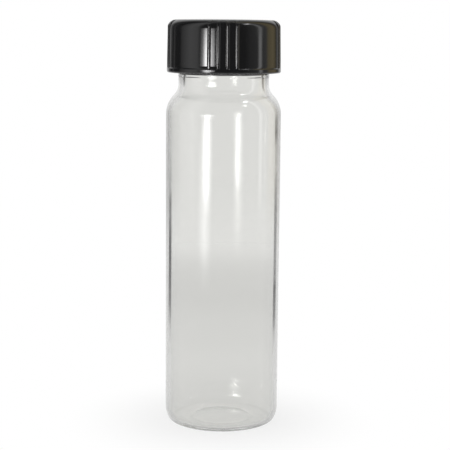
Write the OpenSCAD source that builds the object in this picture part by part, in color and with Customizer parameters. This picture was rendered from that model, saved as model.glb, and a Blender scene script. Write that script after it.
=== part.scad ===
// Glass sample vial, 27.5 mm x 95 mm, with a 24-400 screw neck, a closed-top
// black screw cap and a loose liner disc between the cap and the lip.
// The origin is the centre of the foot and +Z runs up the axis of the vial.
// Turning the cap anticlockwise, seen from above, lifts it off.

/* [Glass body] */
// Outer diameter of the body
body_od = 27.5; // [27:0.1:28]
// Thickness of the straight wall
body_wall = 1; // [0.8:0.05:1.2]
// Height from the foot to the lip
vial_h = 95; // [85:1:105]
// Thickness of the floor at its middle
floor_t = 1; // [0.9:0.05:1.2]
// Rise of the pushed-up foot at its middle
foot_rise = 0.7; // [0.5:0.1:0.9]
// Radius of the outer heel where it leaves the wall
heel_r = 6; // [5:0.1:7]
// Radius of the outer heel where it meets the foot
foot_r = 1.4; // [1.2:0.1:1.6]
// Angle that the outer heel turns through at its larger radius
heel_angle = 28; // [20:1:36]
// Width of the flat ring that the vial stands on
foot_ring_w = 0.9; // [0.6:0.1:1.2]
// Radius of the sole, which rises gently outward from the ring
sole_r = 40; // [36:1:44]
// Angle that the sole turns through
sole_angle = 5.5; // [4.5:0.5:6.5]
// Radius of the inner heel where it meets the floor
inner_heel_r = 1.1; // [0.9:0.1:1.4]

/* [Glass shoulder and neck] */
// Step in from the side of the body to the side of the neck
shoulder_step = 2.95; // [2.8:0.05:3.1]
// Thickness of the neck's wall, without the thread
neck_wall = 1.4; // [1.3:0.05:1.6]
// Length of the straight neck, from the shoulder to the lip
neck_h = 12.65; // [12.4:0.05:13.5]
// Outer radius of the rounded shoulder
shoulder_r = 6.4; // [6:0.1:7]
// Outer radius at the root of the neck
neck_root_r = 3.5; // [3:0.1:4]
// Inner radius of the rounded shoulder
inner_shoulder_r = 5.6; // [5.2:0.1:6]
// Inner radius at the root of the neck
inner_root_r = 4.5; // [4:0.1:5]
// Radius of the outer and inner edges of the lip
lip_r = 0.5; // [0.3:0.05:0.6]

/* [Screw thread] */
// Rise of the cap in one turn
thread_pitch = 3.175; // [3.1:0.025:3.3]
// Height of the glass thread above the neck
thread_h = 1.05; // [0.9:0.05:1.1]
// Turns of the glass thread
glass_turns = 1.15; // [1:0.05:1.3]
// Turns of the cap thread
cap_turns = 1.85; // [1.5:0.05:1.9]
// Gap between each thread's crest and the wall that it faces
thread_gap = 0.3; // [0.25:0.05:0.35]
// Drop from the lip to the centre of the glass thread's upper end
thread_drop = 2.4; // [2.2:0.1:2.6]

/* [Screw cap] */
// Thickness of the cap's wall, at the band round its mouth
cap_wall = 1.45; // [1.3:0.05:1.5]
// Height of the cap
cap_h = 12.6; // [12.4:0.1:12.8]
// Thickness of the cap's top
cap_top_t = 1.7; // [1.5:0.1:1.8]
// Height of the plain band round the cap's mouth
band_h = 1.3; // [1.1:0.1:1.4]
// Step from the smooth panels out to the band
band_step = 0.25; // [0.2:0.01:0.28]
// Lean of the skirt inward toward the top, in degrees
skirt_draft = 1; // [0.8:0.1:1.2]
// Radius of the cap's top edge
cap_edge_r = 2; // [1.8:0.1:2.2]
// Rise of the cap's top from its edge to its middle
cap_crown = 0.15; // [0.1:0.05:0.2]
// Groups of grip ribs round the cap
rib_groups = 4; // [2:1:6]
// Ribs in each group
group_ribs = 4; // [2:1:5]
// Angle from one rib to the next
rib_step = 9.5; // [9:0.5:10]
// Radius of the back of a rib
rib_r = 0.45; // [0.4:0.05:0.5]

/* [Liner] */
// Gap between the liner's edge and the cap's wall
liner_gap = 0.7; // [0.5:0.05:0.9]
// Thickness of the liner disc
liner_t = 1; // [0.8:0.1:1.2]

/* [Hidden] */
$fn = 96;

body_r = body_od / 2;
bore_r = body_r - body_wall;
neck_r = body_r - shoulder_step;
neck_bore_r = neck_r - neck_wall;

// A length to the nearest micrometre, so that shapes meet without a sliver.
function neat(length) = round(length * 1000) / 1000;

// Height gained by two tangent arcs that step in from one radius to another.
function step_rise(from_r, to_r, round_r, root_r) =
    neat(sqrt(pow(round_r + root_r, 2) - pow(to_r - from_r + round_r + root_r, 2)));

// Radius of the arc that rises by a given height over a given half width.
function dome_radius(half_w, rise) = (half_w * half_w + rise * rise) / (2 * rise);

shoulder_top = vial_h - neck_h;
shoulder_base = shoulder_top - step_rise(body_r, neck_r, shoulder_r, neck_root_r);
inner_base = shoulder_top - step_rise(bore_r, neck_bore_r, inner_shoulder_r, inner_root_r);

// The foot's flat ring lies between the pushed-up middle and the sole.
foot_outer = neat(body_r - heel_r + (heel_r - foot_r) * cos(heel_angle));
sole_h = neat(sole_r * (1 - cos(sole_angle)));
sole_inner = neat(foot_outer - (sole_r - foot_r) * sin(sole_angle));
sole_outer = neat(foot_outer + foot_r * sin(sole_angle));
foot_inner = sole_inner - foot_ring_w;
foot_h = neat(sole_h + foot_r * cos(sole_angle));
heel_h = neat(foot_h + (heel_r - foot_r) * sin(heel_angle));

// The floor follows the foot, so that the glass is as thick under both.
floor_dome_rise = foot_rise - 0.05;
floor_edge_z = foot_rise + floor_t - floor_dome_rise;
floor_half_w = foot_inner + 0.5;
hollow_heel_r = heel_r - body_wall;
hollow_angle = asin((heel_h - floor_edge_z - inner_heel_r) / (hollow_heel_r - inner_heel_r));

// A thread is sunk into its wall by this much, so that the two join cleanly.
thread_sink = 0.35;
thread_steps = 36;
thread_fade = 40;
glass_thread_low = vial_h - thread_drop - thread_pitch * glass_turns;

// Each thread's section, from its root to its crest and back: how far out it
// is, as a share of its height, and its half width there.
glass_section = [[0, -1.2], [0.75, -0.62], [1, -0.25], [1, 0.25], [0.75, 0.62], [0, 1.2]];
cap_section = [[0, -1.1], [0.75, -0.55], [1, -0.22], [1, 0.22], [0.75, 0.55], [0, 1.1]];

cap_top = vial_h + liner_t + cap_top_t;
cap_base = cap_top - cap_h;
cap_wall_r = neck_r + thread_h + thread_gap;
cap_r = cap_wall_r + cap_wall;
cap_crest_r = neck_r + thread_gap;
cap_mouth_r = cap_wall_r + 0.25;
cap_mouth_h = 0.9;
band_edge_r = 0.4;
panel_base_r = cap_r - band_step;
panel_base_z = cap_base + band_h;
panel_top_r = neat(panel_base_r - (cap_top - cap_crown - cap_edge_r - panel_base_z) * tan(skirt_draft));
rib_lead = 0.22;
rib_proud = band_step - 0.03;
rib_edge_r = cap_edge_r + 0.15;
cap_shelf_z = cap_top - cap_crown;

// The cap's thread runs half a pitch below the glass thread at every angle.
cap_thread_low = cap_base + 2;
cap_thread_angle = 360 * (cap_thread_low - glass_thread_low + thread_pitch / 2) / thread_pitch;

// The quarter of a disc that rounds off a corner, in the section plane.
module corner_round(centre, r) {
    intersection() {
        translate(centre) circle(r);
        translate(centre) square(2 * r);
    }
}

// Section of a shoulder: a rounded step in, then a hollow one up to the neck.
// The two arcs touch where the line between their centres crosses them.
module shoulder_section(from_r, to_r, base, round_r, root_r) {
    rise = step_rise(from_r, to_r, round_r, root_r);
    low = [from_r - round_r, base];
    high = [to_r + root_r, base + rise];
    meet_r = neat(low[0] + round_r * (high[0] - low[0]) / (round_r + root_r));
    meet_h = neat(round_r * rise / (round_r + root_r));
    intersection() {
        translate(low) circle(round_r);
        translate(low) square([round_r + 1, meet_h]);
    }
    translate([0, base]) square([low[0] + round_r / 2, meet_h]);
    difference() {
        translate([0, base + meet_h]) square([meet_r + 1, rise - meet_h]);
        translate(high) circle(root_r);
    }
}

// Section of a heel: a large arc from the wall, then a small one to the floor.
module heel_section(large, large_r, small, small_r, meet_z, low) {
    intersection() {
        translate(large) circle(large_r);
        translate([large[0], meet_z]) square([large_r + 1, large[1] - meet_z]);
    }
    translate([0, meet_z]) square([large[0] + large_r / 2, large[1] - meet_z]);
    intersection() {
        translate(small) circle(small_r);
        translate([small[0], low]) square([small_r + 1, meet_z - low]);
    }
    translate([0, low]) square([small[0], meet_z - low]);
}

// Section of the foot: the flat ring and the sole that rises outward from it.
module foot_section() {
    intersection() {
        union() {
            square([sole_inner, sole_h]);
            translate([sole_inner, sole_r]) circle(sole_r, $fn = 480);
        }
        square([sole_outer, sole_h]);
    }
}

// Section of everything inside the vial's outer surface, before it is hollowed.
module outer_section() {
    large = [body_r - heel_r, heel_h];
    small = [foot_outer, foot_h];
    meet_z = neat(foot_h - foot_r * sin(heel_angle));
    difference() {
        union() {
            heel_section(large, heel_r, small, foot_r, meet_z, sole_h);
            foot_section();
        }
        translate([0, foot_rise - dome_radius(foot_inner, foot_rise)])
            circle(dome_radius(foot_inner, foot_rise), $fn = 480);
    }
    translate([0, heel_h]) square([body_r, shoulder_base - heel_h]);
    shoulder_section(body_r, neck_r, shoulder_base, shoulder_r, neck_root_r);
    translate([0, shoulder_top]) square([neck_r, neck_h - lip_r]);
    corner_round([neck_r - lip_r, vial_h - lip_r], lip_r);
    translate([0, vial_h - lip_r]) square([neck_r - lip_r, lip_r]);
}

// Section of the hollow: floor, inner heel, bore, inner shoulder and neck.
module inner_section() {
    large = [body_r - heel_r, heel_h];
    reach = (hollow_heel_r - inner_heel_r) * cos(hollow_angle);
    small = [neat(large[0] + reach), floor_edge_z + inner_heel_r];
    meet_z = neat(heel_h - hollow_heel_r * sin(hollow_angle));
    floor_dome_r = dome_radius(floor_half_w, floor_dome_rise);
    difference() {
        heel_section(large, hollow_heel_r, small, inner_heel_r, meet_z, floor_edge_z);
        translate([0, floor_edge_z + floor_dome_rise - floor_dome_r])
            circle(floor_dome_r, $fn = 480);
    }
    translate([0, heel_h]) square([bore_r, inner_base - heel_h]);
    shoulder_section(bore_r, neck_bore_r, inner_base, inner_shoulder_r, inner_root_r);
    translate([0, shoulder_top]) square([neck_bore_r, neck_h + 1]);
    lip_flare();
}

// The rounded inner edge of the lip, as the space that it leaves open.
module lip_flare() {
    difference() {
        translate([0, vial_h - lip_r]) square([neck_bore_r + lip_r, 2 * lip_r]);
        translate([neck_bore_r + lip_r, vial_h - lip_r]) circle(lip_r);
    }
}

// A helical ridge from root_r to crest_r, rising anticlockwise from angle 0.
// It fades into its wall at both ends.
module thread_ridge(root_r, crest_r, turns, section) {
    sweep = 360 * turns;
    count = ceil(turns * thread_steps);
    sides = len(section);
    // An inward ridge has its section turned over, which keeps its faces outward.
    flip = sign(crest_r - root_r);
    function fade(a) = max(0.1, min(1, a / thread_fade, (sweep - a) / thread_fade));
    function corner(a, p) =
        let (r = root_r + (crest_r - root_r) * p[0] * fade(a))
        [r * cos(a), r * sin(a), thread_pitch * a / 360 + flip * p[1]];
    function quad(a, b, c, d) = [[a, b, c], [a, c, d]];
    points = [for (i = [0 : count]) for (p = section) corner(sweep * i / count, p)];
    skin = [
        for (i = [0 : count - 1])
            for (j = [0 : sides - 1])
                let (k = (j + 1) % sides, low = i * sides, high = low + sides)
                each quad(low + k, high + k, high + j, low + j)
    ];
    low_end = [for (j = [sides - 1 : -1 : 0]) j];
    high_end = [for (j = [0 : sides - 1]) count * sides + j];
    polyhedron(points = points, faces = concat(skin, [low_end, high_end]));
}

// The blown glass: one piece, from the foot to the threaded lip.
module glass_vial() {
    color([0.86, 0.89, 0.88])
    difference() {
        union() {
            rotate_extrude() outer_section();
            translate([0, 0, glass_thread_low])
                thread_ridge(neck_r - thread_sink, neck_r + thread_h, glass_turns, glass_section);
        }
        rotate_extrude() inner_section();
    }
}

// Section of the cap's outside, without its ribs: band, panels and top edge.
module cap_section_outside() {
    edge = [panel_top_r - cap_edge_r, cap_shelf_z - cap_edge_r];
    crown_r = dome_radius(edge[0], cap_crown);
    intersection() {
        translate([cap_r - band_edge_r, cap_base + band_edge_r]) circle(band_edge_r);
        translate([cap_r - band_edge_r, cap_base - 1]) square([1, 1 + band_edge_r]);
    }
    translate([0, cap_base]) square([cap_r - band_edge_r, band_edge_r]);
    polygon([
        [0, cap_base + band_edge_r],
        [cap_r, cap_base + band_edge_r],
        [cap_r, panel_base_z - rib_lead],
        [panel_base_r, panel_base_z],
        [panel_top_r, edge[1]],
        [0, edge[1]]
    ]);
    corner_round(edge, cap_edge_r);
    translate([0, edge[1]]) square([edge[0], cap_edge_r]);
    intersection() {
        translate([0, cap_top - crown_r]) circle(crown_r, $fn = 1440);
        translate([0, cap_shelf_z]) square([edge[0], cap_crown]);
    }
}

// Section of the cap's inside: thread wall and the wider mouth below it.
module cap_section_inside() {
    translate([0, cap_base - 1]) square([cap_mouth_r, 1 + cap_mouth_h]);
    translate([0, cap_base]) square([cap_wall_r, cap_h - cap_top_t]);
}

// The space that the ribs may fill: it rounds off their upper ends.
module rib_envelope() {
    low = cap_base + band_edge_r;
    edge = [panel_top_r - cap_edge_r + 0.2, cap_shelf_z - rib_edge_r - 0.02];
    rotate_extrude() {
        translate([0, low]) square([cap_r + 1, edge[1] - low]);
        corner_round(edge, rib_edge_r);
        translate([0, edge[1]]) square([edge[0], rib_edge_r]);
    }
}

// One upright grip rib, a round bar sunk into the leaning skirt.
module rib(angle) {
    centre_r = panel_base_r + rib_proud - rib_r;
    rotate([0, 0, angle])
        translate([centre_r, 0, panel_base_z])
            rotate([0, -skirt_draft, 0])
                translate([0, 0, -0.6])
                    cylinder(r = rib_r, h = cap_h);
}

// The ribs, in equal groups with smooth panels between them.
module ribs() {
    intersection() {
        union()
            for (g = [0 : rib_groups - 1])
                for (i = [0 : group_ribs - 1])
                    rib(g * 360 / rib_groups - 90 + (i - (group_ribs - 1) / 2) * rib_step);
        rib_envelope();
    }
}

// The moulded cap: skirt, ribs, closed top and inner thread in one piece.
module screw_cap() {
    color([0.07, 0.07, 0.075]) {
        difference() {
            union() {
                rotate_extrude() cap_section_outside();
                ribs();
            }
            rotate_extrude() cap_section_inside();
        }
        translate([0, 0, cap_thread_low])
            rotate([0, 0, cap_thread_angle])
                thread_ridge(cap_wall_r + thread_sink, cap_crest_r, cap_turns, cap_section);
    }
}

// The liner: a flat disc under the cap's top, pressed on the lip.
module cap_liner() {
    color([0.93, 0.93, 0.91])
        translate([0, 0, vial_h])
            cylinder(r = cap_wall_r - liner_gap, h = liner_t);
}

glass_vial();
screw_cap();
cap_liner();
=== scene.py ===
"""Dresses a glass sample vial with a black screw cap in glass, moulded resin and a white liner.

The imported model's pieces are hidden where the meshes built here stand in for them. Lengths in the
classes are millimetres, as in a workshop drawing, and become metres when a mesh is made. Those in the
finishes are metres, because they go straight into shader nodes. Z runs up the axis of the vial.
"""

import logging
import math
from collections.abc import Sequence
from dataclasses import dataclass, field
from enum import Enum
from typing import Any

import bpy
import numpy as np
from mathutils import Matrix, Vector


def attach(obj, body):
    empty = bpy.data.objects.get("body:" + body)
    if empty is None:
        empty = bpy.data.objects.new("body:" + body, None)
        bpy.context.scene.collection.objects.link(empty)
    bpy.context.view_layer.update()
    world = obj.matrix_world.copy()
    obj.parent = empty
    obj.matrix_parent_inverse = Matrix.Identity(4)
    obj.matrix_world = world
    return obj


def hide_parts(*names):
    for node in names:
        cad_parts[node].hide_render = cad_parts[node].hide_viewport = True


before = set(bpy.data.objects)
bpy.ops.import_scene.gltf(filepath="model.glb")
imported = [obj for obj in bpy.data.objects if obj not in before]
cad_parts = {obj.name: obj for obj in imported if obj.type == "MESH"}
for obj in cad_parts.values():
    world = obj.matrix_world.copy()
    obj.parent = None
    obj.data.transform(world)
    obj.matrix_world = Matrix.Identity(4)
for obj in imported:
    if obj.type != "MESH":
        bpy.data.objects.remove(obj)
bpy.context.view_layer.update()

MM = 0.001
# Points of a section that are nearer than this, in millimetres, are one point.
SAME_POINT = 1e-4
# Faces that meet at a greater angle keep a crisp edge between them.
CRISP_EDGE = math.radians(50)
WHITE = (1.0, 1.0, 1.0)

Point = tuple[float, float]
Range = tuple[float, float]
Section = list[Point]
Colour = tuple[float, float, float]
Stops = Sequence[tuple[float, float | Colour]]
Socket = bpy.types.NodeSocket
Outputs = bpy.types.NodeOutputs
Feed = float | Colour | Socket

log = logging.getLogger("vial")


# --- Sections and turned meshes ---


def arc(centre: Point, radius: float, start: float, end: float, steps: int) -> Section:
    """Points along an arc of the section plane.

    Args:
        centre: Centre of the arc, as (radius, height).
        radius: Radius of the arc.
        start: Angle of the first point, in degrees from straight outward.
        end: Angle of the last point.
        steps: Number of chords.

    Returns:
        The points, both ends included.
    """
    angles = np.radians(np.linspace(start, end, steps + 1))
    return [(centre[0] + radius * math.cos(a), centre[1] + radius * math.sin(a)) for a in angles]


def straight(start: Point, end: Point, steps: int) -> Section:
    """Points along a straight line of the section plane, both ends included."""
    shares = np.linspace(0.0, 1.0, steps + 1)
    return [tuple(np.array(start) + (np.array(end) - np.array(start)) * s) for s in shares]


def dome(half_width: float, middle: float, edge: float, outward: bool, steps: int) -> Section:
    """Points along a shallow dome about the axis.

    Args:
        half_width: Radius at which the dome ends.
        middle: Height on the axis, above the edge's.
        edge: Height at the dome's edge.
        outward: True for points from the axis outward.
        steps: Number of chords.

    Returns:
        The points, both ends included.
    """
    rise = middle - edge
    radius = (half_width**2 + rise**2) / (2 * rise)
    reach = np.linspace(0.0, half_width, steps + 1)
    points = [(float(r), middle - radius + math.sqrt(radius**2 - r**2)) for r in reach]
    return points if outward else points[::-1]


def joined(*parts: Section) -> Section:
    """Joins sections end to end.

    Args:
        *parts: The sections, in order.

    Returns:
        One section, without the points that two of them share.
    """
    made: Section = []
    for point in (p for part in parts for p in part):
        if not made or math.dist(made[-1], point) > SAME_POINT:
            made.append(point)
    return made


def step_rise(from_r: float, to_r: float, round_r: float, root_r: float) -> float:
    """Height gained by two touching arcs that step in from one radius to another."""
    return math.sqrt((round_r + root_r) ** 2 - (to_r - from_r + round_r + root_r) ** 2)


def shoulder(from_r: float, to_r: float, top: float, round_r: float, root_r: float) -> Section:
    """Points up a rounded shoulder and the hollow root above it.

    Args:
        from_r: Radius of the wall below.
        to_r: Radius of the neck above.
        top: Height at which the neck starts.
        round_r: Radius of the rounded shoulder.
        root_r: Radius of the hollow root.

    Returns:
        The points from the wall up to the neck.
    """
    low = (from_r - round_r, top - step_rise(from_r, to_r, round_r, root_r))
    high = (to_r + root_r, top)
    meet = math.degrees(math.atan2(high[1] - low[1], high[0] - low[0]))
    return joined(arc(low, round_r, 0, meet, steps=20), arc(high, root_r, 180 + meet, 180, steps=12))


def even_turns(count: int) -> np.ndarray:
    """Angles at equal steps round the axis, in degrees from 0."""
    return np.arange(count) * 360.0 / count


@dataclass(frozen=True)
class Thread:
    """A helical ridge that fades into its wall at both ends.

    Attributes:
        low: Height of the lower end's centre.
        start: Angle of the lower end, in degrees.
        turns: Number of turns.
        reach: Distances from the ridge's centre line where its section bends.
        lift: Share of the full height at each of those distances.
        pitch: Rise in one turn.
        height: How far the crest stands from the wall.
        sink: Depth of the ridge's root below the wall.
        fade: Angle over which each end fades, in degrees.
        softness: Distance over which the bends of the section are rounded.
    """

    low: float
    start: float
    turns: float
    reach: tuple[float, ...]
    lift: tuple[float, ...] = (1.0, 1.0, 0.75, 0.0)
    pitch: float = 3.175
    height: float = 1.05
    sink: float = 0.35
    fade: float = 40.0
    softness: float = 0.1

    def rise(self, angles: np.ndarray, heights: np.ndarray) -> np.ndarray:
        """Height of the ridge over its wall.

        Args:
            angles: Angles about the axis, in degrees.
            heights: Heights along the axis.

        Returns:
            One row for each height and one column for each angle.
        """
        sweep = 360.0 * self.turns
        shifts = np.linspace(-self.softness, self.softness, 5)
        made = np.zeros((len(heights), len(angles)))
        for lap in range(math.ceil(self.turns) + 1):
            along = (angles - self.start) % 360.0 + 360.0 * lap
            fade = np.clip(np.minimum(along, sweep - along) / self.fade, 0.0, 1.0)
            away = heights[:, None] - (self.low + self.pitch * along / 360.0)[None, :]
            soft = np.zeros_like(made)
            for shift in shifts:
                share = np.interp(np.abs(away + shift), self.reach, self.lift) * fade[None, :]
                soft += np.maximum((self.height + self.sink) * share - self.sink, 0.0) / len(shifts)
            made = np.maximum(made, soft)
        return made


def turned_mesh(
    name: str, section: Section, angles: np.ndarray, moved: np.ndarray | float = 0.0
) -> bpy.types.Mesh:
    """Makes a closed mesh by turning a section about the axis.

    Args:
        name: Name of the mesh.
        section: Points from the axis, round the part with its outside on the right, to the axis.
        angles: Angles of the columns, in degrees, rising from 0 towards 360.
        moved: How far each point is moved outward, one row for each point between the section's ends.

    Returns:
        The mesh, in metres.
    """
    rings = np.array(section[1:-1])
    rows, columns = len(rings), len(angles)
    reach = rings[:, :1] + moved
    turn = np.radians(angles)
    places = np.empty((rows, columns, 3))
    places[:, :, 0] = reach * np.cos(turn)
    places[:, :, 1] = reach * np.sin(turn)
    places[:, :, 2] = rings[:, 1:]
    ends = np.array([[0.0, 0.0, section[0][1]], [0.0, 0.0, section[-1][1]]])
    points = np.concatenate([places.reshape(-1, 3), ends]) * MM

    low = np.arange(rows - 1)[:, None] * columns
    here = np.arange(columns)
    there = (here + 1) % columns
    quads = np.stack([low + here, low + there, low + columns + there, low + columns + here], axis=-1)
    first, last, top = rows * columns, rows * columns + 1, (rows - 1) * columns
    pairs = list(zip(here.tolist(), there.tolist(), strict=True))
    fans = [(first, j2, j1) for j1, j2 in pairs] + [(last, top + j1, top + j2) for j1, j2 in pairs]

    mesh = bpy.data.meshes.new(name)
    mesh.from_pydata(points.tolist(), [], quads.reshape(-1, 4).tolist() + fans)
    mesh.validate()
    mesh.shade_smooth()
    return mesh


# --- Node graphs and the effects that several finishes share ---


class Graph:
    """Adds nodes to a shader tree and links them."""

    def __init__(self, tree: bpy.types.NodeTree) -> None:
        """Keeps the tree that the nodes go into."""
        self.tree = tree

    @classmethod
    def cleared(cls, owner: bpy.types.ID) -> "Graph":
        """Turns on an owner's nodes and empties its tree.

        Args:
            owner: A material, lamp or world.

        Returns:
            A graph for its empty tree.
        """
        owner.use_nodes = True
        owner.node_tree.nodes.clear()
        return cls(owner.node_tree)

    def add(
        self, kind: str, sockets: dict[str | int, Any] | None = None, **settings: Any
    ) -> bpy.types.Node:
        """Adds one node.

        Args:
            kind: Blender's name for the node type.
            sockets: What each input gets: another node's output, or a plain value.
            **settings: Values for the node's own properties.

        Returns:
            The node.
        """
        node = self.tree.nodes.new(kind)
        for key, value in settings.items():
            setattr(node, key, value)
        for key, value in (sockets or {}).items():
            if isinstance(value, Socket):
                self.tree.links.new(value, node.inputs[key])
            else:
                node.inputs[key].default_value = value
        return node

    def where(self) -> Socket:
        """The place on the piece, in its own metres."""
        return self.add("ShaderNodeTexCoord").outputs["Object"]

    def noise(self, at: Socket, scale: Feed, detail: float, **more: float) -> Socket:
        """A noise texture's value at a place."""
        sockets = {"Vector": at, "Scale": scale, "Detail": detail, **more}
        return self.add("ShaderNodeTexNoise", sockets).outputs[0]

    def maths(self, operation: str, *values: Feed, clamp: bool = False) -> Socket:
        """The result of a Math node on up to three values or sockets."""
        sockets = dict(enumerate(values))
        return self.add("ShaderNodeMath", sockets, operation=operation, use_clamp=clamp).outputs[0]

    def times(self, first: Feed, second: Feed) -> Socket:
        """One value or socket times another."""
        return self.maths("MULTIPLY", first, second)

    def plus(self, first: Feed, second: Feed, clamp: bool = False) -> Socket:
        """The sum of two values or sockets."""
        return self.maths("ADD", first, second, clamp=clamp)

    def scaled(self, vector: Socket, by: Feed) -> Socket:
        """A vector multiplied by another, axis by axis."""
        return self.add("ShaderNodeVectorMath", {0: vector, 1: by}, operation="MULTIPLY").outputs[0]

    def bump(self, height: Socket, distance: float, strength: float = 1.0) -> Socket:
        """A normal bent by a height, where a height of 1 stands for the distance in metres."""
        sockets = {"Height": height, "Strength": strength, "Distance": distance}
        return self.add("ShaderNodeBump", sockets).outputs[0]

    @staticmethod
    def tone(value: float | Colour) -> tuple[float, float, float, float]:
        """A grey or a colour as four numbers."""
        return (*value, 1.0) if isinstance(value, tuple) else (value, value, value, 1.0)

    def ramp(self, factor: Feed, stops: Stops) -> Socket:
        """A colour ramp.

        Args:
            factor: Where on the ramp to look.
            stops: Each stop's place, rising, and its grey or colour.

        Returns:
            The ramp's colour.
        """
        node = self.add("ShaderNodeValToRGB", {0: factor})
        points = node.color_ramp.elements
        for point, (place, tone) in zip((points[0], points[-1]), (stops[0], stops[-1]), strict=True):
            point.position = place
            point.color = self.tone(tone)
        for place, tone in stops[1:-1]:
            points.new(place).color = self.tone(tone)
        return node.outputs["Color"]

    def between(self, value: Feed, low: float, high: float, to: Range = (0.0, 1.0)) -> Socket:
        """A value mapped smoothly from one range to another, and clamped."""
        sockets = {"Value": value, "From Min": low, "From Max": high, "To Min": to[0], "To Max": to[1]}
        return self.add("ShaderNodeMapRange", sockets, interpolation_type="SMOOTHSTEP").outputs["Result"]

    def mixed(self, factor: Feed, first: Feed, second: Feed) -> Socket:
        """Two colours mixed by a factor, through the node's colour sockets 6, 7 and 2."""
        one, two = (self.tone(c) if isinstance(c, tuple) else c for c in (first, second))
        return self.add("ShaderNodeMix", {0: factor, 6: one, 7: two}, data_type="RGBA").outputs[2]

    def blend(self, factor: Socket, first: Socket, second: Socket) -> Socket:
        """Two shaders mixed by a factor."""
        return self.add("ShaderNodeMixShader", {0: factor, 1: first, 2: second}).outputs[0]

    def shader(self, kind: str, **sockets: Any) -> Socket:
        """A shader node's output. Words of a socket's name are joined by an underscore."""
        named = {key.replace("_", " "): value for key, value in sockets.items()}
        return self.add(kind, named).outputs[0]


@dataclass(frozen=True)
class Effect:
    """A shader node group that several finishes share.

    Attributes:
        name: Name of the group.
        inputs: Name and default of each number that it takes.
        outputs: Name of each number that it gives.
    """

    name: str
    inputs: tuple[tuple[str, float], ...]
    outputs: tuple[str, ...]

    def draw(self, graph: Graph, given: Outputs) -> dict[str, Socket]:
        """Makes the group's own nodes from its inputs and returns a socket for each output."""
        raise NotImplementedError

    def tree(self) -> bpy.types.NodeTree:
        """The node group, made when it is first asked for.

        Returns:
            The group's tree.
        """
        known = bpy.data.node_groups.get(self.name)
        if known:
            return known
        tree = bpy.data.node_groups.new(self.name, "ShaderNodeTree")
        for name, value in self.inputs:
            taken = tree.interface.new_socket(name, in_out="INPUT", socket_type="NodeSocketFloat")
            taken.default_value = value
        for name in self.outputs:
            tree.interface.new_socket(name, in_out="OUTPUT", socket_type="NodeSocketFloat")
        graph = Graph(tree)
        given = graph.add("NodeGroupInput").outputs
        graph.add("NodeGroupOutput", self.draw(graph, given))
        return tree

    def place(self, graph: Graph, **values: float) -> Outputs:
        """Places the group in a material.

        Args:
            graph: The material's graph.
            **values: The group's inputs here, in small letters with underscores.

        Returns:
            The group's outputs.
        """
        node = graph.add("ShaderNodeGroup", node_tree=self.tree())
        for key, value in values.items():
            node.inputs[key.replace("_", " ").capitalize()].default_value = value
        return node.outputs


class MouldedSkin(Effect):
    """Slow waves and a fine skin, as a mould or a flame leaves on a surface."""

    def draw(self, graph: Graph, given: Outputs) -> dict[str, Socket]:
        """Makes a height and a tone from a slow and a fine noise.

        Args:
            graph: The group's graph.
            given: The group's inputs.

        Returns:
            The height and the tone.
        """
        stretch = graph.add("ShaderNodeCombineXYZ", {"X": 1.0, "Y": 1.0, "Z": given["Stretch"]})
        laid = graph.scaled(graph.where(), stretch.outputs[0])
        slow = graph.noise(laid, given["Wave scale"], detail=1.0)
        fine = graph.noise(laid, given["Grain scale"], detail=3.0)
        return {
            "Height": graph.plus(
                graph.times(slow, given["Wave depth"]), graph.times(fine, given["Grain depth"])
            ),
            "Tone": graph.plus(graph.times(slow, 0.6), graph.times(fine, 0.4)),
        }


class FineDust(Effect):
    """Sparse specks that have settled on a surface."""

    def draw(self, graph: Graph, given: Outputs) -> dict[str, Socket]:
        """Makes a mask of round specks, thinned out by a slow noise.

        Args:
            graph: The group's graph.
            given: The group's inputs.

        Returns:
            The mask.
        """
        where = graph.where()
        cells = graph.add("ShaderNodeTexVoronoi", {"Vector": where, "Scale": given["Scale"]})
        size = graph.times(graph.noise(where, scale=160.0, detail=2.0), given["Amount"])
        return {"Mask": graph.maths("GREATER_THAN", size, cells.outputs["Distance"])}


class HandlingMarks(Effect):
    """Faint smears and hairline scratches from use."""

    def draw(self, graph: Graph, given: Outputs) -> dict[str, Socket]:
        """Makes a mask of smears and one of scratches.

        Args:
            graph: The group's graph.
            given: The group's inputs.

        Returns:
            The two masks.
        """
        where, upright, hairline = graph.where(), (1.0, 1.0, 0.16), 0.012
        smear = graph.noise(where, given["Smear scale"], detail=4.0, Distortion=0.6)
        cells = {"Vector": graph.scaled(where, upright), "Scale": given["Scratch scale"]}
        lines = graph.add("ShaderNodeTexVoronoi", cells, feature="DISTANCE_TO_EDGE")
        thin = graph.between(lines.outputs["Distance"], 0.0, hairline, to=(1.0, 0.0))
        sparse = graph.between(smear, 0.56, 0.66)
        return {"Smears": graph.between(smear, 0.5, 0.72), "Scratches": graph.times(thin, sparse)}


SKIN = MouldedSkin(
    "moulded_skin",
    (
        ("Wave scale", 120.0), ("Wave depth", 1.0), ("Grain scale", 2500.0), ("Grain depth", 0.2),
        ("Stretch", 1.0),
    ),
    ("Height", "Tone"),
)
DUST = FineDust("fine_dust", (("Scale", 900.0), ("Amount", 0.1)), ("Mask",))
MARKS = HandlingMarks(
    "handling_marks", (("Smear scale", 90.0), ("Scratch scale", 400.0)), ("Smears", "Scratches")
)


# --- Finishes ---


class Finish:
    """The look of one surface, from which its material is made."""

    name: str

    def surface(self, graph: Graph) -> Socket:
        """Draws the finish's nodes and returns its shader."""
        raise NotImplementedError

    def made(self) -> bpy.types.Material:
        """The material.

        Returns:
            A new material with the finish's nodes.
        """
        material = bpy.data.materials.new(self.name)
        graph = Graph.cleared(material)
        graph.add("ShaderNodeOutputMaterial", {"Surface": self.surface(graph)})
        return material


class Side(Enum):
    """Which side of the blown glass a finish is for."""

    OUTSIDE = "outside"
    INSIDE = "inside"


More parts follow.
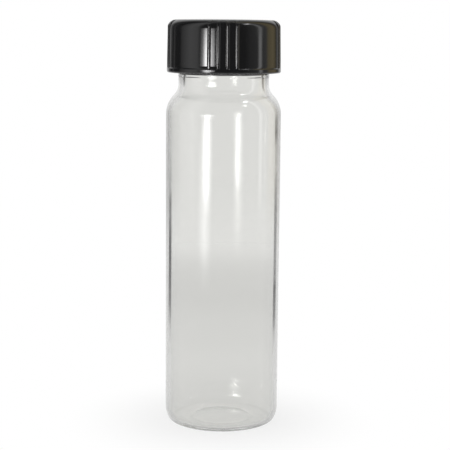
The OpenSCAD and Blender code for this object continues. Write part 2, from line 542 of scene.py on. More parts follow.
@dataclass(frozen=True)
class ClearGlass(Finish):
    """Clear borosilicate glass, bright-drawn, with faint vertical lines in its surface, and painted dark
    lines and shade at the bore's edges inside.

    Attributes:
        side: The handled outside or the clean inside.
        ior: Index of refraction.
        tint: Colour that light keeps through one crossing.
        haze: Roughness of a full smear.
        specks: Roughness of a speck of dust.
        inside_share: How much of the haze and the specks the inside has.
        dust_colour: Colour of the dust.
        relief: Depth of the surface's waves, in metres.
        passed: Colour of the light that goes straight on.
        bounces: Number of glossy bounces above which it does.
        dark: Grey of the dark shader that paints shade at the bore's edges.
        top: Height of the glass, in metres, which the shares below are of.
        halves: How far from the middle the left turns into the right, in metres.
        painted_line_left: Strength of the painted dark line on the left, by share of the height.
        painted_line_right: The same on the right.
        painted_line_slope: The painted line's strength across the bore's slope, where 0 is face on.
        painted_soft_shade: The softer painted shade beside it.
        painted_soft_heights: Where along the height that painted shade is seen.
    """

    side: Side
    ior: float = 1.473
    tint: Colour = (0.85, 0.85, 0.836)
    haze: float = 0.02
    specks: float = 0.1
    inside_share: float = 0.25
    dust_colour: Colour = (0.9, 0.9, 0.88)
    relief: float = 2e-5
    passed: Colour = (0.93, 0.94, 0.93)
    bounces: float = 2.5
    dark: float = 0.004
    top: float = 0.095
    halves: float = 0.004
    painted_line_left: Stops = (
        (0.0, 0.0), (0.14, 0.08), (0.2, 0.18), (0.24, 0.3), (0.27, 0.5), (0.32, 0.83), (0.36, 0.92),
        (0.45, 1.0), (0.48, 0.98), (0.54, 0.78), (0.575, 0.74), (0.605, 0.4), (0.66, 0.3), (0.8, 0.0),
        (0.857, 0.0), (0.866, 0.4), (0.882, 0.9),
    )
    painted_line_right: Stops = (
        (0.0, 0.0), (0.14, 0.1), (0.2, 0.25), (0.24, 0.42), (0.28, 0.8), (0.32, 0.87), (0.355, 0.98),
        (0.385, 0.74), (0.5, 0.78), (0.57, 0.68), (0.61, 0.5), (0.66, 0.3), (0.715, 0.34), (0.75, 0.72),
        (0.785, 0.55), (0.82, 0.1), (0.84, 0.0), (0.857, 0.5), (0.89, 0.9),
    )
    painted_line_slope: Stops = ((0.245, 0.0), (0.256, 0.95), (0.277, 0.95), (0.288, 0.0))
    painted_soft_shade: Stops = ((0.15, 0.0), (0.22, 0.05), (0.25, 0.12), (0.285, 0.27), (0.33, 0.27))
    painted_soft_heights: Stops = ((0.79, 1.0), (0.815, 0.0), (0.86, 0.0), (0.88, 1.0))

    @property
    def name(self) -> str:
        """Name of the material."""
        return f"clear_glass_{self.side.value}"

    def painted_bore_shade(self, graph: Graph) -> Socket:
        """Paints shade at the edges of the bore: dark lines and a soft shade by the slope at which a ray
        meets the inside, set by height and by side.

        Args:
            graph: The material's graph.

        Returns:
            How far the inside turns to the dark shader, the painted shade, seen from within the glass.
        """
        slope = graph.add("ShaderNodeLayerWeight", {"Blend": 0.5}).outputs["Facing"]
        within = graph.add("ShaderNodeNewGeometry").outputs["Backfacing"]
        axes = graph.add("ShaderNodeSeparateXYZ", {0: graph.where()}).outputs
        share = graph.maths("DIVIDE", axes["Z"], self.top)
        right = graph.between(axes["X"], -self.halves, self.halves)
        depth = graph.mixed(right, graph.ramp(share, self.painted_line_left), graph.ramp(share, self.painted_line_right))
        line = graph.times(graph.ramp(slope, self.painted_line_slope), depth)
        soft = graph.times(graph.ramp(slope, self.painted_soft_shade), graph.ramp(share, self.painted_soft_heights))
        return graph.times(graph.maths("MAXIMUM", soft, line), within)

    def surface(self, graph: Graph) -> Socket:
        """Draws the glass. Light that is caught in its wall goes straight on after some bounces.

        Args:
            graph: The material's graph.

        Returns:
            The glass shader.
        """
        skin = SKIN.place(
            graph, wave_scale=70.0, wave_depth=1.0, grain_scale=700.0, grain_depth=0.05, stretch=0.12
        )
        marks = MARKS.place(graph, smear_scale=70.0, scratch_scale=300.0)
        dust = DUST.place(graph, scale=700.0, amount=0.06)
        handled = 1.0 if self.side is Side.OUTSIDE else self.inside_share
        haze = graph.times(marks["Smears"], self.haze * handled)
        specks = graph.times(dust["Mask"], self.specks * handled)
        glass = graph.shader(
            "ShaderNodeBsdfPrincipled",
            Base_Color=graph.mixed(specks, self.tint, self.dust_colour),
            Roughness=graph.plus(haze, specks),
            IOR=self.ior,
            Transmission_Weight=1.0,
            Normal=graph.bump(skin["Height"], self.relief),
        )
        # The inside mixes in a dark shader at the bore's edges: painted shade.
        if self.side is Side.INSIDE:
            dark = graph.shader("ShaderNodeBsdfDiffuse", Color=graph.tone(self.dark))
            glass = graph.blend(self.painted_bore_shade(graph), glass, dark)
        clear = graph.shader("ShaderNodeBsdfTransparent", Color=graph.tone(self.passed))
        path = graph.add("ShaderNodeLightPath").outputs
        caught = graph.maths("GREATER_THAN", path["Glossy Depth"], self.bounces)
        return graph.blend(graph.maths("MAXIMUM", caught, path["Is Shadow Ray"]), glass, clear)


@dataclass(frozen=True)
class BlackResin(Finish):
    """Glossy black moulded resin, as screw caps are pressed from.

    Attributes:
        name: Name of the material.
        colour: Colour of the resin.
        dust_colour: Colour of the dust and of rubbed resin.
        ior: Index of refraction.
        gloss: Roughness of the clean surface.
        smear_rough: Roughness that a smear adds.
        rub_rough: Roughness that rubbing adds.
        dust_rough: Roughness that dust adds.
        rub_cover: How far rubbing turns the colour to the dust's.
        dust_cover: How far dust does.
        scratch: Depth of a scratch, as a share of the relief.
        relief: Depth of the skin, in metres.
    """

    name: str = "black_resin"
    colour: Colour = (0.0065, 0.0065, 0.007)
    dust_colour: Colour = (0.5, 0.49, 0.46)
    ior: float = 1.55
    gloss: float = 0.1
    smear_rough: float = 0.07
    rub_rough: float = 0.12
    dust_rough: float = 0.4
    rub_cover: float = 0.02
    dust_cover: float = 0.05
    scratch: float = 0.06
    relief: float = 1.2e-5

    def surface(self, graph: Graph) -> Socket:
        """Draws the resin: smeared, dusty, and rubbed where the cap is gripped.

        Args:
            graph: The material's graph.

        Returns:
            The resin's shader.
        """
        skin = SKIN.place(graph, wave_scale=260.0, wave_depth=0.5, grain_scale=3200.0, grain_depth=0.12)
        marks = MARKS.place(graph, smear_scale=120.0, scratch_scale=500.0)
        dust = DUST.place(graph, scale=1500.0, amount=0.07)["Mask"]
        worn = graph.add("ShaderNodeAttribute", attribute_name="wear").outputs["Fac"]
        rub = graph.times(worn, graph.between(skin["Tone"], 0.4, 0.6))
        dusty, rubbed = graph.times(dust, self.dust_cover), graph.times(rub, self.rub_cover)
        lighter = graph.plus(dusty, rubbed, clamp=True)
        rough = graph.plus(self.gloss, graph.times(marks["Smears"], self.smear_rough))
        rough = graph.plus(rough, graph.times(rub, self.rub_rough))
        rough = graph.plus(rough, graph.times(dust, self.dust_rough), clamp=True)
        scratches = graph.times(marks["Scratches"], self.scratch)
        height = graph.maths("SUBTRACT", skin["Height"], scratches)
        return graph.shader(
            "ShaderNodeBsdfPrincipled",
            Base_Color=graph.mixed(lighter, self.colour, self.dust_colour),
            Roughness=rough,
            IOR=self.ior,
            Normal=graph.bump(height, self.relief),
        )


@dataclass(frozen=True)
class WhiteLiner(Finish):
    """Soft white liner sheet, smooth faced with a fine foam grain.

    Attributes:
        name: Name of the material.
        colour: Colour of the sheet.
        shade: Share of the colour in the grain's hollows.
        dust_colour: Colour of the dust.
        dust_cover: How far dust turns the colour to its own.
        rough: Least and greatest roughness.
        grain: Tones of the skin between which the colour and the roughness change.
        relief: Depth of the grain, in metres.
    """

    name: str = "white_liner"
    colour: Colour = (0.82, 0.82, 0.79)
    shade: float = 0.93
    dust_colour: Colour = (0.6, 0.59, 0.56)
    dust_cover: float = 0.3
    rough: Range = (0.42, 0.55)
    grain: Range = (0.3, 0.7)
    relief: float = 3e-5

    def surface(self, graph: Graph) -> Socket:
        """Draws the sheet with its grain and a little dust.

        Args:
            graph: The material's graph.

        Returns:
            The sheet's shader.
        """
        skin = SKIN.place(graph, wave_scale=300.0, wave_depth=0.4, grain_scale=4000.0, grain_depth=0.6)
        dust = DUST.place(graph, scale=1800.0, amount=0.08)["Mask"]
        hollow = tuple(self.shade * c for c in self.colour)
        sheet = graph.ramp(skin["Tone"], [(self.grain[0], hollow), (self.grain[1], self.colour)])
        return graph.shader(
            "ShaderNodeBsdfPrincipled",
            Base_Color=graph.mixed(graph.times(dust, self.dust_cover), sheet, self.dust_colour),
            Roughness=graph.between(skin["Tone"], *self.grain, to=self.rough),
            Normal=graph.bump(skin["Height"], self.relief),
        )


@dataclass(frozen=True)
class PalePaper(Finish):
    """Pale paper under the vial, which runs out into the white of the room.

    Attributes:
        radius: Radius of the sheet, in metres.
        name: Name of the material.
        tones: The paper's tone by the noise of its grain.
        relief: Depth of the grain, in metres.
        foot_white: Share of plain white at the vial's foot, where its shadow shows.
        shadow_r: Distance at which the paper is all white, in metres.
        rim: Where the sheet starts to fade out and where it is gone, in metres.
        depth: Share of plain white in the paper as seen through glass, by share of the radius; its dips
            and rises paint shade near the vial and darker and lighter bands into what the glass shows.
    """

    radius: float
    name: str = "pale_paper"
    tones: Stops = ((0.3, (0.74, 0.74, 0.73)), (0.7, (0.76, 0.76, 0.75)))
    relief: float = 1e-5
    foot_white: float = 0.72
    shadow_r: float = 0.04
    rim: Range = (0.25, 0.58)
    depth: Stops = (
        (0.0, 0.7), (0.027, 0.66), (0.043, 0.72), (0.062, 0.77), (0.098, 0.83), (0.14, 0.77),
        (0.19, 0.76), (0.245, 0.69), (0.31, 0.72), (0.343, 0.75), (0.383, 0.83), (0.425, 0.97),
        (0.47, 1.0),
    )

    def surface(self, graph: Graph) -> Socket:
        """Draws the paper, lit by the lamps or white by the kind of ray that meets it.

        Args:
            graph: The material's graph.

        Returns:
            The paper's shader.
        """
        where = graph.where()
        away = graph.add("ShaderNodeVectorMath", {0: where}, operation="LENGTH").outputs["Value"]
        grain = graph.noise(where, scale=400.0, detail=3.0)
        lit = graph.shader(
            "ShaderNodeBsdfDiffuse",
            Color=graph.ramp(grain, self.tones),
            Normal=graph.bump(grain, self.relief, strength=0.2),
        )
        white = graph.shader("ShaderNodeEmission", Color=graph.tone(WHITE), Strength=1.0)
        path = graph.add("ShaderNodeLightPath").outputs
        through = path["Is Transmission Ray"]
        direct = graph.plus(path["Is Camera Ray"], path["Is Glossy Ray"])
        direct = graph.maths("SUBTRACT", direct, through, clamp=True)
        direct = graph.times(direct, graph.between(away, 0.0, self.shadow_r, to=(self.foot_white, 1.0)))
        # Through glass, the paper's white share rises and dips with distance: painted light and shade
        # bands.
        reach = graph.maths("DIVIDE", away, self.radius)
        through = graph.times(through, graph.ramp(reach, self.depth))
        paper = graph.blend(graph.plus(direct, through, clamp=True), lit, white)
        clear = graph.shader("ShaderNodeBsdfTransparent", Color=graph.tone(WHITE))
        return graph.blend(graph.between(away, *self.rim), paper, clear)


# --- The vial, its cap and the liner ---


def placed(mesh: bpy.types.Mesh, *finishes: Finish) -> bpy.types.Object:
    """Puts a mesh in the scene under its own name.

    Args:
        mesh: The mesh.
        *finishes: The finishes of its material slots.

    Returns:
        Its object.
    """
    piece = bpy.data.objects.new(mesh.name, mesh)
    for finish in finishes:
        mesh.materials.append(finish.made())
    bpy.context.scene.collection.objects.link(piece)
    return piece


@dataclass
class GlassVial:
    """The blown glass, from the pushed-up foot to the threaded lip."""

    body_r: float = 13.75
    wall: float = 1.0
    height: float = 95.0
    neck_r: float = 10.8
    bore_r: float = 9.4
    neck_h: float = 12.65
    shoulder_r: float = 6.4
    root_r: float = 3.5
    inner_shoulder_r: float = 5.6
    inner_root_r: float = 4.5
    lip_r: float = 0.5
    foot_rise: float = 0.6
    foot_inner: float = 7.212
    sole_r: float = 40.0
    sole_angle: float = 5.5
    foot_r: float = 1.4
    heel_r: float = 6.0
    heel_angle: float = 28.0
    floor_edge: float = 1.05
    floor_rise: float = 0.65
    floor_half_w: float = 7.712
    inner_foot_r: float = 1.1
    # The ring that the neck's mould leaves and the step above it, with its two ends and their runs.
    ring_z: float = 84.35
    ring_half_h: float = 0.36
    ring_proud: float = 0.09
    ring_least: float = 0.2
    step_z: Range = (84.65, 88.0)
    step_run: Range = (0.5, 2.0)
    step_proud: float = 0.08
    # The draw of the tube inside: waves round the bore, their twist, phase and height.
    draw_waves: tuple[tuple[float, ...], ...] = ((3, 0.05, 0.0, 0.012), (5, -0.11, 1.3, 0.006))
    draw_low: float = 6.0
    draw_below_lip: float = 2.0
    # The mesh: its columns, and the height of a row over the thread.
    columns: int = 240
    thread_row: float = 0.085
    thread_margin: float = 1.3
    thread: Thread = field(
        default_factory=lambda: Thread(low=88.949, start=0.0, turns=1.15, reach=(0.0, 0.25, 0.62, 1.2))
    )

    @property
    def heel_h(self) -> float:
        """Height at which the heel runs into the straight wall.

        Returns:
            The height.
        """
        sole, heel = math.radians(self.sole_angle), math.radians(90 - self.heel_angle)
        low = self.sole_r * (1 - math.cos(sole))
        turn = self.foot_r * (math.cos(sole) - math.cos(heel))
        return low + turn + self.heel_r * math.cos(heel)

    def foot(self) -> Section:
        """The foot's outer section.

        Returns:
            The points from its middle out to the wall.
        """
        sole, turn = math.radians(self.sole_angle), math.radians(90 - self.heel_angle)
        heel = (self.body_r - self.heel_r, self.heel_h)
        reach = self.heel_r - self.foot_r
        foot = (heel[0] + reach * math.sin(turn), heel[1] - reach * math.cos(turn))
        sole_r = foot[0] - (self.sole_r - self.foot_r) * math.sin(sole)
        return joined(
            dome(self.foot_inner, self.foot_rise, 0.0, outward=True, steps=14),
            straight((self.foot_inner, 0.0), (sole_r, 0.0), steps=3),
            arc((sole_r, self.sole_r), self.sole_r, -90, self.sole_angle - 90, steps=12),
            arc(foot, self.foot_r, self.sole_angle - 90, -self.heel_angle, steps=12),
            arc(heel, self.heel_r, -self.heel_angle, 0, steps=12),
        )

    def hollow(self) -> Section:
        """The section of the hollow's heel and floor.

        Returns:
            The points from the wall to the middle of the floor.
        """
        heel = (self.body_r - self.heel_r, self.heel_h)
        reach = self.heel_r - self.wall
        drop = (heel[1] - self.floor_edge - self.inner_foot_r) / (reach - self.inner_foot_r)
        turn = math.degrees(math.asin(drop))
        foot_r = heel[0] + (reach - self.inner_foot_r) * math.cos(math.radians(turn))
        foot = (foot_r, self.floor_edge + self.inner_foot_r)
        middle = self.floor_edge + self.floor_rise
        return joined(
            arc(heel, reach, 0, -turn, steps=12),
            arc(foot, self.inner_foot_r, -turn, -90, steps=12),
            straight((foot[0], self.floor_edge), (self.floor_half_w, self.floor_edge), steps=4),
            dome(self.floor_half_w, middle, self.floor_edge, outward=False, steps=20),
        )

    def outside(self) -> Section:
        """The outer section.

        Returns:
            The points from the middle of the foot up to the lip.
        """
        top = self.height - self.neck_h
        base = top - step_rise(self.body_r, self.neck_r, self.shoulder_r, self.root_r)
        thread_low, thread_high = self.thread.low - self.thread_margin, self.height - self.lip_r
        threaded = round((thread_high - thread_low) / self.thread_row)
        return joined(
            self.foot(),
            straight((self.body_r, self.heel_h), (self.body_r, base), steps=30),
            shoulder(self.body_r, self.neck_r, top, self.shoulder_r, self.root_r),
            straight((self.neck_r, top), (self.neck_r, thread_low), steps=72),
            straight((self.neck_r, thread_low), (self.neck_r, thread_high), steps=threaded),
            arc((self.neck_r - self.lip_r, thread_high), self.lip_r, 0, 90, steps=8),
        )

    def inside(self) -> Section:
        """The inner section.

        Returns:
            The points from the lip down to the middle of the floor.
        """
        top, bore = self.height - self.neck_h, self.body_r - self.wall
        base = top - step_rise(bore, self.bore_r, self.inner_shoulder_r, self.inner_root_r)
        lip = self.height - self.lip_r
        return joined(
            arc((self.bore_r + self.lip_r, lip), self.lip_r, 90, 180, steps=8),
            straight((self.bore_r, lip), (self.bore_r, top), steps=12),
            shoulder(bore, self.bore_r, top, self.inner_shoulder_r, self.inner_root_r)[::-1],
            straight((bore, base), (bore, self.heel_h), steps=30),
            self.hollow(),
        )

    def ring(self, heights: np.ndarray, turn: np.ndarray) -> np.ndarray:
        """Height of the small ring that the neck's mould leaves, and of the step above it.

        Args:
            heights: Heights along the axis, one to a row.
            turn: Angles about the axis, in radians, one to a column.

        Returns:
            One row for each height and one column for each angle.
        """
        away = np.clip((heights - self.ring_z) / self.ring_half_h, -1.0, 1.0)
        bead = self.ring_proud * np.cos(away * math.pi / 2) ** 2
        up = np.clip((heights - self.step_z[0]) / self.step_run[0], 0.0, 1.0)
        down = np.clip((self.step_z[1] - heights) / self.step_run[1], 0.0, 1.0)
        around = self.ring_least + (1 - self.ring_least) * np.cos(turn) ** 2
        return bead * around + self.step_proud * up * down

    def build(self) -> bpy.types.Object:
        """Builds the glass.

        Returns:
            Its object.
        """
        outside, inside = self.outside(), self.inside()
        section = joined(outside, inside)
        angles, heights = even_turns(self.columns), np.array([z for _, z in section[1:-1]])
        turn, along = np.radians(angles)[None, :], heights[:, None]
        outer = (np.arange(1, len(section) - 1) < len(outside))[:, None]
        moved = (self.thread.rise(angles, heights) + self.ring(along, turn)) * outer
        drawn = ~outer & (along > self.draw_low) & (along < self.height - self.draw_below_lip)
        for count, twist, phase, height in self.draw_waves:
            moved += height * np.sin(count * turn + twist * along + phase) * drawn
        mesh = turned_mesh("vial_glass", section, angles, moved)
        piece = placed(mesh, ClearGlass(Side.OUTSIDE), ClearGlass(Side.INSIDE))
        slots = np.zeros(len(mesh.polygons), np.int32)
        slots[(len(outside) - 1) * self.columns :] = 1
        # The fan that closes the foot is outside, but comes after the faces of the inside.
        slots[-2 * self.columns : -self.columns] = 0
        mesh.polygons.foreach_set("material_index", slots)
        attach(piece, "vial")
        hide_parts("glass_vial")
        return piece


@dataclass
class ScrewCap:
    """The moulded cap: band, panels, grip ribs, closed top and inner thread."""

    base: float = 85.1
    top: float = 97.7
    outer_r: float = 13.6
    panel_r: float = 13.35
    panel_z: float = 86.4
    panel_top_r: float = 13.19
    edge_r: float = 2.0
    crown: float = 0.15
    draft: float = 1.0
    band_edge_r: float = 0.4
    wall_r: float = 12.15
    mouth_r: float = 12.4
    mouth_h: float = 0.9
    mouth_edge_r: float = 0.12
    mouth_gap: float = 0.02
    ceiling_edge_r: float = 0.15
    top_t: float = 1.7
    # The step from the band in to the panels.
    ledge_h: float = 0.3
    ledge_r: float = 0.1
    ledge_angle: float = 42.0
    ledge_root: Point = (0.03, 0.05)
    # The grip ribs, and the angle in radians beyond which a rib can't reach.
    rib_r: float = 0.45
    rib_proud: float = 0.22
    rib_step: float = 9.5
    group_ribs: int = 4
    rib_groups: int = 4
    rib_turn: float = -0.7
    rib_edge_r: float = 2.15
    rib_edge_out: float = 0.2
    rib_low: float = 0.02
    rib_window: float = 0.2
    skirt_margin: float = 0.02
    rub_h: float = 0.3
    # The mesh: angles between its columns, and the height of a row over the thread.
    plain_turn: float = 1.6
    rib_half_turn: float = 2.0
    rib_columns: int = 21
    least_turn: float = 0.12
    thread_row: float = 0.11
    thread_margin: float = 1.2
    thread: Thread = field(
        default_factory=lambda: Thread(low=87.1, start=-29.65, turns=1.85, reach=(0.0, 0.22, 0.55, 1.1))
    )

    def rib_angles(self) -> list[float]:
        """The angle of every rib.

        Returns:
            The angles, in degrees, group by group.
        """
        middle = (self.group_ribs - 1) / 2
        return [
            group * 360 / self.rib_groups - 90 + self.rib_turn + (i - middle) * self.rib_step
            for group in range(self.rib_groups)
            for i in range(self.group_ribs)
        ]

    def column_angles(self) -> np.ndarray:
        """Angles of the mesh's columns, close together at the ribs.

        Returns:
            The angles, in degrees, rising.
        """
        plain = np.arange(0, 360, self.plain_turn)
        shifts = np.linspace(-self.rib_half_turn, self.rib_half_turn, self.rib_columns)
        fine = [a + s for a in self.rib_angles() for s in shifts]
        every = sorted({round(float(a) % 360, 3) for a in [*plain, *fine]})
        kept = [every[0]]
        for angle in every[1:]:
            if angle - kept[-1] > self.least_turn:
                kept.append(angle)
        return np.array(kept)

    def inside(self) -> Section:
        """The inner section.

        Returns:
            The points from the middle of the ceiling to the mouth.
        """
        ceiling, mouth = self.top - self.top_t, self.base + self.mouth_h
        thread_top = self.thread.low + self.thread.pitch * self.thread.turns + self.thread_margin
        threaded = round((thread_top - mouth) / self.thread_row)
        corner = (self.wall_r - self.ceiling_edge_r, ceiling - self.ceiling_edge_r)
        edge = (self.mouth_r + self.mouth_edge_r, self.base + self.mouth_edge_r)
        return joined(
            straight((0.0, ceiling), (corner[0], ceiling), steps=6),
            arc(corner, self.ceiling_edge_r, 90, 0, steps=3),
            straight((self.wall_r, corner[1]), (self.wall_r, thread_top), steps=3),
            straight((self.wall_r, thread_top), (self.wall_r, mouth), steps=threaded),
            straight((self.mouth_r, mouth - self.mouth_gap), (self.mouth_r, edge[1]), steps=3),
            arc(edge, self.mouth_edge_r, 180, 270, steps=3),
        )

    def outside(self) -> Section:
        """The outer section without its ribs.

        Returns:
            The points from the mouth to the middle of the top.
        """
        low = (self.outer_r - self.band_edge_r, self.base + self.band_edge_r)
        ledge = (self.outer_r - self.ledge_r, self.panel_z - self.ledge_h)
        root = (self.panel_r + self.ledge_root[0], self.panel_z - self.ledge_root[1])
        edge = (self.panel_top_r - self.edge_r, self.top - self.crown - self.edge_r)
        return joined(
            arc(low, self.band_edge_r, -90, 0, steps=6),
            straight((self.outer_r, low[1]), (self.outer_r, ledge[1]), steps=3),
            arc(ledge, self.ledge_r, 0, self.ledge_angle, steps=2),
            straight(root, (self.panel_r, self.panel_z), steps=1),
            straight((self.panel_r, self.panel_z), (self.panel_top_r, edge[1]), steps=16),
            arc(edge, self.edge_r, 0, 90, steps=24),
            dome(edge[0], self.top, self.top - self.crown, outward=False, steps=12),
        )

    def rib_reach(self, angles: np.ndarray, heights: np.ndarray) -> np.ndarray:
        """Radius of the ribs' surface, or 0 where there is none.

        Args:
            angles: Angles about the axis, in degrees.
            heights: Heights along the axis.

        Returns:
            One row for each height and one column for each angle.
        """
        lean = math.tan(math.radians(self.draft))
        centre = self.panel_r + self.rib_proud - self.rib_r - (heights - self.panel_z) * lean
        reach = np.zeros((len(heights), len(angles)))
        for rib in self.rib_angles():
            away = np.radians((angles - rib + 180) % 360 - 180)[None, :]
            side = centre[:, None] * np.sin(away)
            near = (np.abs(side) < self.rib_r) & (np.abs(away) < self.rib_window)
            found = centre[:, None] * np.cos(away) + np.sqrt(np.maximum(self.rib_r**2 - side**2, 0))
            reach = np.maximum(reach, np.where(near, found, 0))
        high = self.top - self.crown - self.rib_edge_r - self.rib_low
        above = np.clip(heights - high, 0, self.rib_edge_r)
        edge = self.panel_top_r - self.edge_r + self.rib_edge_out
        limit = edge + np.sqrt(self.rib_edge_r**2 - above**2)
        limit = np.where(heights < self.base + self.band_edge_r, 0.0, limit)
        return np.minimum(reach, limit[:, None])

    def build(self) -> bpy.types.Object:
        """Builds the cap.

        Returns:
            Its object.
        """
        inside, outside = self.inside(), self.outside()
        section = joined(inside, outside)
        radii, heights = np.array(section[1:-1]).T
        outer = np.arange(1, len(section) - 1) >= len(inside)
        skirt = outer & (radii > self.panel_top_r - self.edge_r + self.skirt_margin)
        bore = ~outer & (np.abs(radii - self.wall_r) < SAME_POINT)
        angles = self.column_angles()
        ribs = np.maximum(self.rib_reach(angles, heights) - radii[:, None], 0) * skirt[:, None]
        moved = ribs - self.thread.rise(angles, heights) * bore[:, None]
        mesh = turned_mesh("cap_shell", section, angles, moved)
        mesh.set_sharp_from_angle(angle=CRISP_EDGE)
        self.mark_wear(mesh, moved, heights, outer)
        piece = placed(mesh, BlackResin())
        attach(piece, "cap")
        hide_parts("screw_cap")
        return piece

    def mark_wear(
        self, mesh: bpy.types.Mesh, moved: np.ndarray, heights: np.ndarray, outer: np.ndarray
    ) -> None:
        """Stores where handling rubs the cap: rib backs and the lower edge.

        Args:
            mesh: The cap's mesh.
            moved: How far each point stands out from the plain section.
            heights: Height of each row of points.
            outer: True for rows of the outside.
        """
        backs = np.clip(moved / self.rib_proud, 0, 1) * outer[:, None]
        near = np.exp(-(((heights - self.base) / self.rub_h) ** 2)) * outer
        wear = np.maximum(backs**2, near[:, None])
        values = np.concatenate([wear.ravel(), [0.0, 0.0]]).astype(np.float32)
        mesh.attributes.new("wear", "FLOAT", "POINT").data.foreach_set("value", values)


@dataclass
class CapLiner:
    """The liner disc, with the ring that the lip presses into it."""

    radius: float = 11.45
    low: float = 95.0
    thick: float = 1.0
    edge_r: float = 0.12
    lip_inner: float = 9.5
    lip_outer: float = 10.5
    press: float = 0.02
    press_run: float = 0.2
    side_low: float = 0.2
    columns: int = 180

    def section(self) -> Section:
        """The whole section.

        Returns:
            The points from the middle of the underside to the middle of the top.
        """
        low, high, rim = self.low, self.low + self.thick, self.radius - self.edge_r
        free = low + self.press
        return joined(
            straight((0.0, free), (self.lip_inner - self.press_run, free), steps=5),
            straight((self.lip_inner, low), (self.lip_outer, low), steps=3),
            straight((self.lip_outer + self.press_run, free), (rim, free), steps=2),
            arc((rim, free + self.edge_r), self.edge_r, -90, 0, steps=4),
            straight((self.radius, low + self.side_low), (self.radius, high - self.edge_r), steps=4),
            arc((rim, high - self.edge_r), self.edge_r, 0, 90, steps=4),
            straight((rim, high), (0.0, high), steps=5),
        )

    def build(self) -> bpy.types.Object:
        """Builds the liner.

        Returns:
            Its object.
        """
        mesh = turned_mesh("liner_disc", self.section(), even_turns(self.columns))
        mesh.set_sharp_from_angle(angle=CRISP_EDGE)
        piece = placed(mesh, WhiteLiner())
        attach(piece, "liner")
        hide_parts("cap_liner")
        return piece


# --- The studio ---


@dataclass(frozen=True)
class SoftLamp:
    """A soft lamp that faces the vial and is brighter in some places than in others.

    Attributes:
        name: Name of the lamp.
        bearing: Angle from the camera's side, in degrees, positive to the right.
        distance: Distance from the axis.
        height: Height of its middle.
        aim: Height on the axis that it faces.
        size: Width and height.
        brightness: How much brighter than white its face is.
        across: Share of the brightness at each share of the width, from the left as the vial sees it.
        upward: Share of the brightness at each share of the height, from the bottom.
        power: Watts for a square metre of face as bright as white.
    """

    name: str
    bearing: float
    distance: float
    height: float
    aim: float
    size: Point
    brightness: float
    across: Stops = ((0.0, 0.0), (0.3, 1.0), (0.7, 1.0), (1.0, 0.0))
    upward: Stops = ((0.0, 0.0), (0.3, 1.0), (0.7, 1.0), (1.0, 0.0))
    power: float = 4.0

    def build(self) -> None:
        """Hangs the lamp."""
        data = bpy.data.lights.new(self.name, "AREA")
        data.shape = "RECTANGLE"
        data.size, data.size_y = self.size[0] * MM, self.size[1] * MM
        data.energy = self.brightness * self.power * data.size * data.size_y
        graph = Graph.cleared(data)
        face = graph.add("ShaderNodeNewGeometry").outputs["Parametric"]
        axes = graph.add("ShaderNodeSeparateXYZ", {0: face}).outputs
        level = graph.times(graph.ramp(axes["X"], self.across), graph.ramp(axes["Y"], self.upward))
        glow = graph.shader("ShaderNodeEmission", Color=graph.tone(WHITE), Strength=level)
        graph.add("ShaderNodeOutputLight", {0: glow})
        lamp = bpy.data.objects.new(self.name, data)
        turn = math.radians(self.bearing)
        place = Vector((math.sin(turn), -math.cos(turn), 0)) * self.distance * MM
        place.z = self.height * MM
        lamp.location = place
        lamp.rotation_mode = "QUATERNION"
        lamp.rotation_quaternion = (Vector((0, 0, self.aim * MM)) - place).to_track_quat("-Z", "Y")
        lamp.visible_camera = False
        bpy.context.scene.collection.objects.link(lamp)


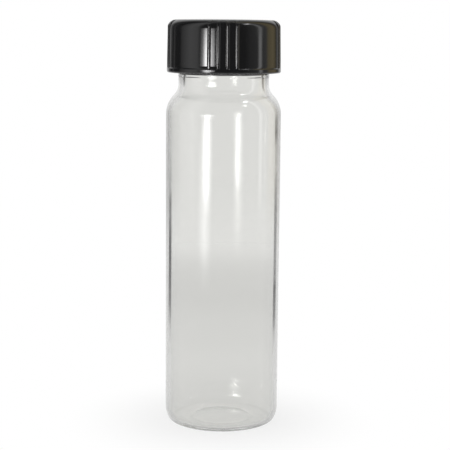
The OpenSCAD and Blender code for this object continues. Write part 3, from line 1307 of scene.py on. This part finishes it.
@dataclass
class Studio:
    """The pale floor, the room round it, the lamps and the camera."""

    floor_r: float = 600.0
    floor_rings: tuple[float, ...] = (0.15, 0.4, 1.0)
    floor_columns: int = 120
    floor_drop: float = 0.02
    camera_distance: float = 330.0
    camera_height: float = 96.75
    camera_side: float = 0.576
    camera_range: Range = (0.01, 50.0)
    pitch: float = 8.35
    roll: float = 0.47
    lens: float = 110.0
    sensor: float = 36.0
    ambient: float = 0.55
    warm_tint: Colour = (1.0, 0.84, 0.5)
    lamps: tuple[SoftLamp, ...] = (
        SoftLamp(
            "key_lamp", bearing=-33.0, distance=380.0, height=35.0, aim=50.0,
            size=(170.0, 70.0), brightness=9.0,
            across=(
                (0.0, 0.0), (0.15, 0.1), (0.3, 0.45), (0.42, 1.0), (0.64, 1.0), (0.72, 0.3), (1.0, 0.0),
            ),
            upward=(
                (0.0, 0.0), (0.1, 0.12), (0.23, 0.6), (0.4, 0.9), (0.55, 1.0), (0.8, 0.75), (1.0, 0.15),
            ),
        ),
        SoftLamp(
            "key_top", bearing=-33.0, distance=380.0, height=84.0, aim=60.0,
            size=(200.0, 68.0), brightness=21.0,
            across=(
                (0.0, 0.05), (0.14, 0.11), (0.21, 0.23), (0.29, 0.55), (0.37, 0.95), (0.42, 1.0),
                (0.58, 0.9), (0.74, 0.8), (0.8, 0.35), (0.9, 0.34), (0.96, 0.22), (1.0, 0.12),
            ),
            upward=(
                (0.0, 0.0), (0.27, 0.0), (0.33, 0.6), (0.45, 0.9), (0.6, 1.0), (0.74, 0.6), (0.85, 0.36),
                (0.93, 0.1), (1.0, 0.0),
            ),
        ),
        SoftLamp(
            "key_glow", bearing=-36.5, distance=150.0, height=38.0, aim=50.0,
            size=(80.0, 60.0), brightness=2.4,
            across=((0.0, 0.0), (0.15, 0.25), (0.3, 0.55), (0.5, 1.0), (0.62, 0.9), (1.0, 0.0)),
            upward=((0.0, 0.0), (0.13, 0.27), (0.25, 0.8), (0.37, 1.0), (0.6, 1.0), (1.0, 0.0)),
        ),
        SoftLamp(
            "high_lamp", bearing=66.0, distance=420.0, height=640.0, aim=80.0,
            size=(150.0, 100.0), brightness=10.0,
        ),
    )

    def build(self) -> None:
        """Sets up the whole studio."""
        self.floor()
        self.room()
        for lamp in self.lamps:
            lamp.build()
        self.camera()
        bpy.context.scene.view_settings.view_transform = "Standard"

    def floor(self) -> None:
        """Lays the pale floor, a hair below the vial."""
        mesh = bpy.data.meshes.new("floor")
        turns = np.radians(even_turns(self.floor_columns))
        rings = [self.floor_r * share * MM for share in self.floor_rings]
        points = [(r * math.cos(t), r * math.sin(t), 0.0) for r in rings for t in turns]
        pairs = [(1 + j, 1 + (j + 1) % self.floor_columns) for j in range(self.floor_columns)]
        faces = [(0, here, there) for here, there in pairs]
        for low in range(0, (len(rings) - 1) * self.floor_columns, self.floor_columns):
            high = low + self.floor_columns
            faces += [(low + here, high + here, high + there, low + there) for here, there in pairs]
        mesh.from_pydata([(0.0, 0.0, 0.0), *points], [], faces)
        floor = placed(mesh, PalePaper(self.floor_r * MM))
        floor.location.z = -self.floor_drop * MM

    def room(self) -> None:
        """Lights the room: white to the camera and through glass, graded walls to gloss."""
        world = bpy.data.worlds.new("room")
        bpy.context.scene.world = world
        graph = Graph.cleared(world)
        facing = graph.add("ShaderNodeTexCoord").outputs["Generated"]
        axes = graph.add("ShaderNodeSeparateXYZ", {0: facing}).outputs
        bearing = graph.maths("ARCTAN2", axes["X"], graph.times(axes["Y"], -1.0))
        share = graph.plus(graph.maths("DIVIDE", bearing, 2 * math.pi), 0.5)
        walls = graph.ramp(share, [((angle + 180) / 360, tone) for angle, tone in self.walls()])
        path = graph.add("ShaderNodeLightPath").outputs
        soft = graph.mixed(path["Is Glossy Ray"], (self.ambient,) * 3, walls)
        glass = graph.mixed(path["Is Transmission Ray"], soft, WHITE)
        shown = graph.mixed(path["Is Camera Ray"], glass, WHITE)
        light = graph.shader("ShaderNodeBackground", Color=shown, Strength=1.0)
        graph.add("ShaderNodeOutputWorld", {"Surface": light})

    def walls(self) -> Stops:
        """Brightness of the room by bearing, in degrees from the camera's side.

        Returns:
            The bearings and tones, from behind on the left to behind on the right.
        """
        grey = [
            (-180, 0.8), (-150, 0.8), (-144, 0.3), (-134, 0.13), (-131, 0.05), (-127, 0.05),
            (-125, 0.22), (-122, 0.22), (-119, 0.06), (-102, 0.06), (-97, 0.3), (-72, 0.9), (-56, 0.8),
            (-50, 0.3), (-44, 0.1), (44, 0.1), (56, 0.25), (74, 0.33), (77.5, 2.2), (82, 2.0),
            (86, 0.35), (97, 0.4),
        ]
        warm = [(103, 0.82), (118, 0.78), (126, 0.54), (131, 0.3)]
        behind = [(137, 0.12), (144, 0.4), (150, 0.8), (180, 0.8)]
        return [*grey, *((a, tuple(g * c for c in self.warm_tint)) for a, g in warm), *behind]

    def camera(self) -> None:
        """Sets up the camera."""
        data = bpy.data.cameras.new("camera")
        data.sensor_width = self.sensor
        data.lens = self.lens
        data.clip_start, data.clip_end = self.camera_range
        pitch, roll = math.radians(self.pitch), math.radians(self.roll)
        ahead = Vector((0, math.cos(pitch), -math.sin(pitch)))
        up, right = Vector((0, math.sin(pitch), math.cos(pitch))), Vector((1, 0, 0))
        across = right * math.cos(roll) + up * math.sin(roll)
        upward = up * math.cos(roll) - right * math.sin(roll)
        place = Vector((self.camera_side, -self.camera_distance, self.camera_height)) * MM
        rig = bpy.data.objects.new("camera", data)
        rows = [(across[i], upward[i], -ahead[i], place[i]) for i in range(3)]
        rig.matrix_world = Matrix([*rows, (0, 0, 0, 1)])
        bpy.context.scene.collection.objects.link(rig)
        bpy.context.scene.camera = rig


def main() -> None:
    """Builds the vial, its cap, the liner and the studio, and logs the number of faces of each piece."""
    logging.basicConfig(level=logging.INFO, format="%(name)s: %(message)s")
    for part in (GlassVial(), ScrewCap(), CapLiner()):
        piece = part.build()
        log.info("%s: %d faces", piece.name, len(piece.data.polygons))
    Studio().build()


if __name__ == "__main__":
    main()
